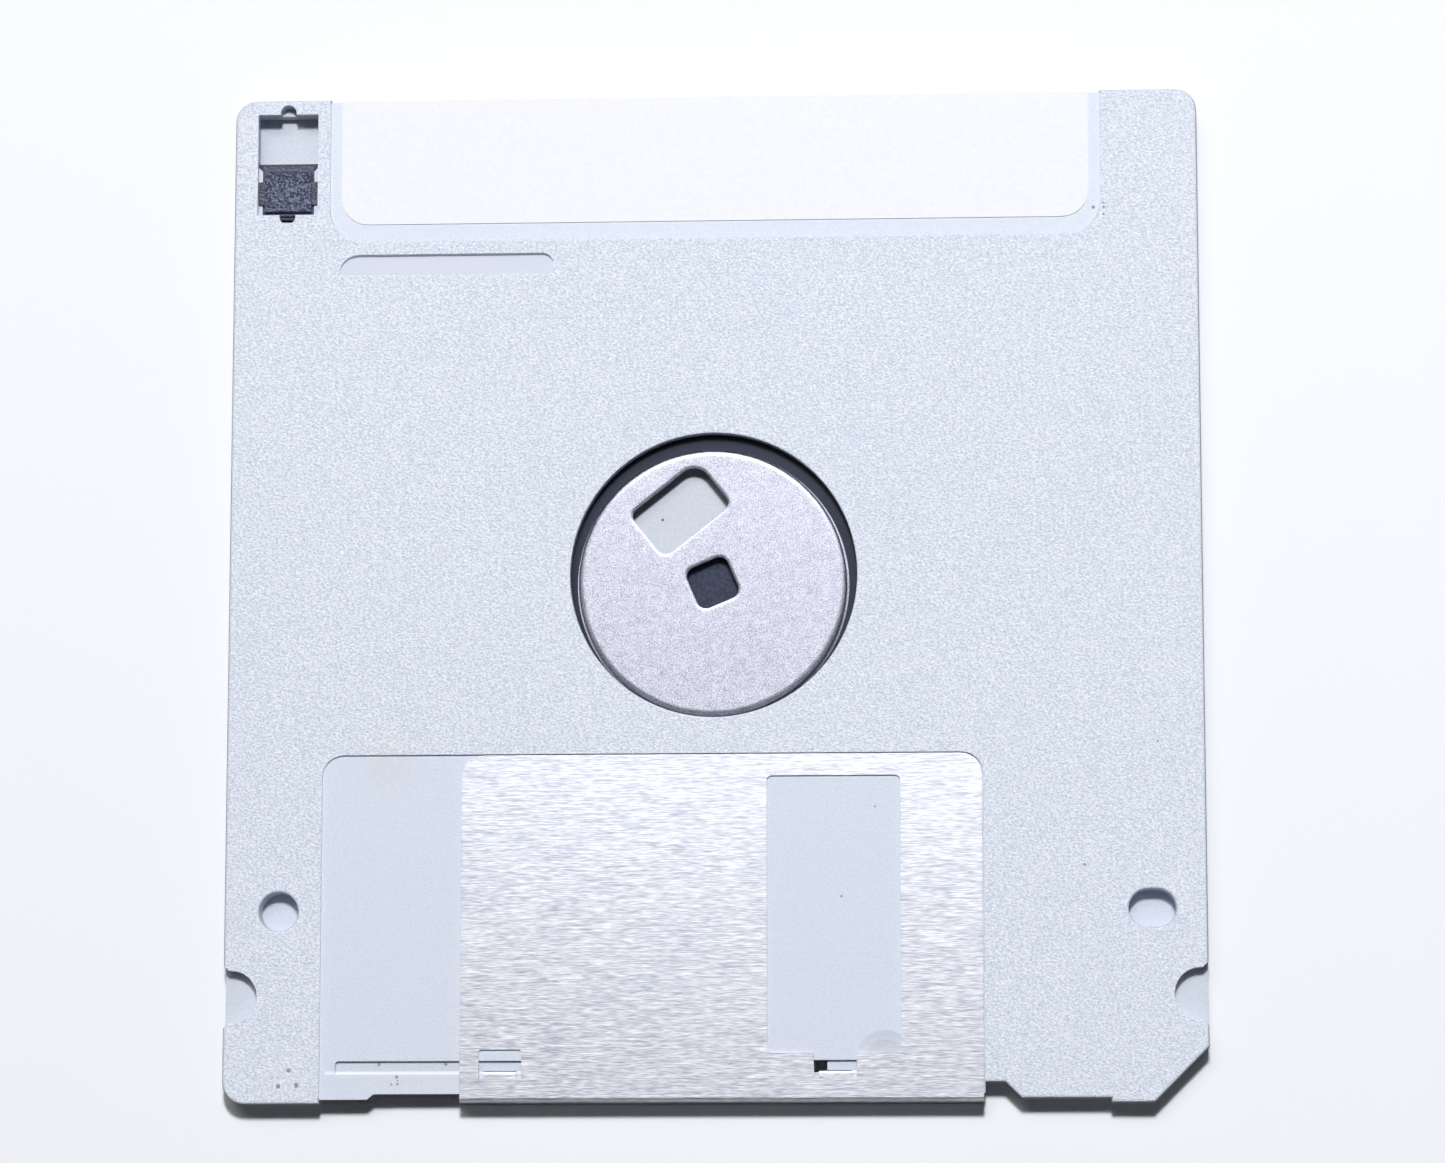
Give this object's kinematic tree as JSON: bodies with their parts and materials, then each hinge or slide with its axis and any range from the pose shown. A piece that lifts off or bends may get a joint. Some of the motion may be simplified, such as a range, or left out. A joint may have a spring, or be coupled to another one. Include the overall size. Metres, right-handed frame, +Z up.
{
  "type": "floppy disk",
  "caption": "Flat hard-cased floppy disk with a sprung sliding metal shutter, turning hub and magnetic disk, a label folded round its rear edge and a write-protect slider.",
  "frame": {"origin": "on the surface that the disk lies on, under the middle of the case's outline", "axes": "+X to the right seen from the hub side, +Y from the shutter's edge to the label's edge, +Z up out of the hub side"},
  "size_m": [0.09, 0.094, 0.0033],
  "materials": {
    "case_plastic": "pale blue-grey injection moulding with a fine spark-eroded grain",
    "liner_fabric": "thin non-woven wiping fabric",
    "lifter_film": "stiff polyester film",
    "pad_plastic": "smooth dark slippery plastic",
    "label_paper": "plain white matt paper",
    "spring_wire": "drawn spring wire",
    "magnetic_film": "dark coated film, smooth",
    "hub_steel": "satin stamped steel",
    "adhesive": "thin double-sided adhesive",
    "shutter_steel": "stainless sheet brushed from side to side",
    "tab_plastic": "dark blue-grey moulding"
  },
  "bodies": {
    "case": {"hub_side_shell": "case_plastic", "label_side_shell": "case_plastic", "hub_side_liner": "liner_fabric", "label_side_liner": "liner_fabric", "liner_lifter": "lifter_film", "wear_pad": "pad_plastic", "label": "label_paper", "shutter_spring": "spring_wire"},
    "disk": {"hub": "hub_steel", "magnetic_disk": "magnetic_film", "hub_adhesive_ring": "adhesive"},
    "shutter": {"shutter": "shutter_steel"},
    "write_protect": {"write_protect_tab": "tab_plastic"}
  },
  "joints": [
    {"name": "shutter_slide", "type": "slide", "parent": "case", "child": "shutter", "axis": [-1, 0, 0], "range_m": [0, 0.0124], "stiffness_N_per_m": 20, "springref_m": -0.03, "deforming": ["shutter_spring"]},
    {"name": "disk_spin", "type": "hinge", "parent": "case", "child": "disk", "pos_m": [-0.0001, 0.00088, 0.00165], "axis": [0, 0, 1], "continuous": true},
    {"name": "write_protect_slide", "type": "slide", "parent": "case", "child": "write_protect", "axis": [0, 1, 0], "range_m": [0, 0.0046]}
  ]
}
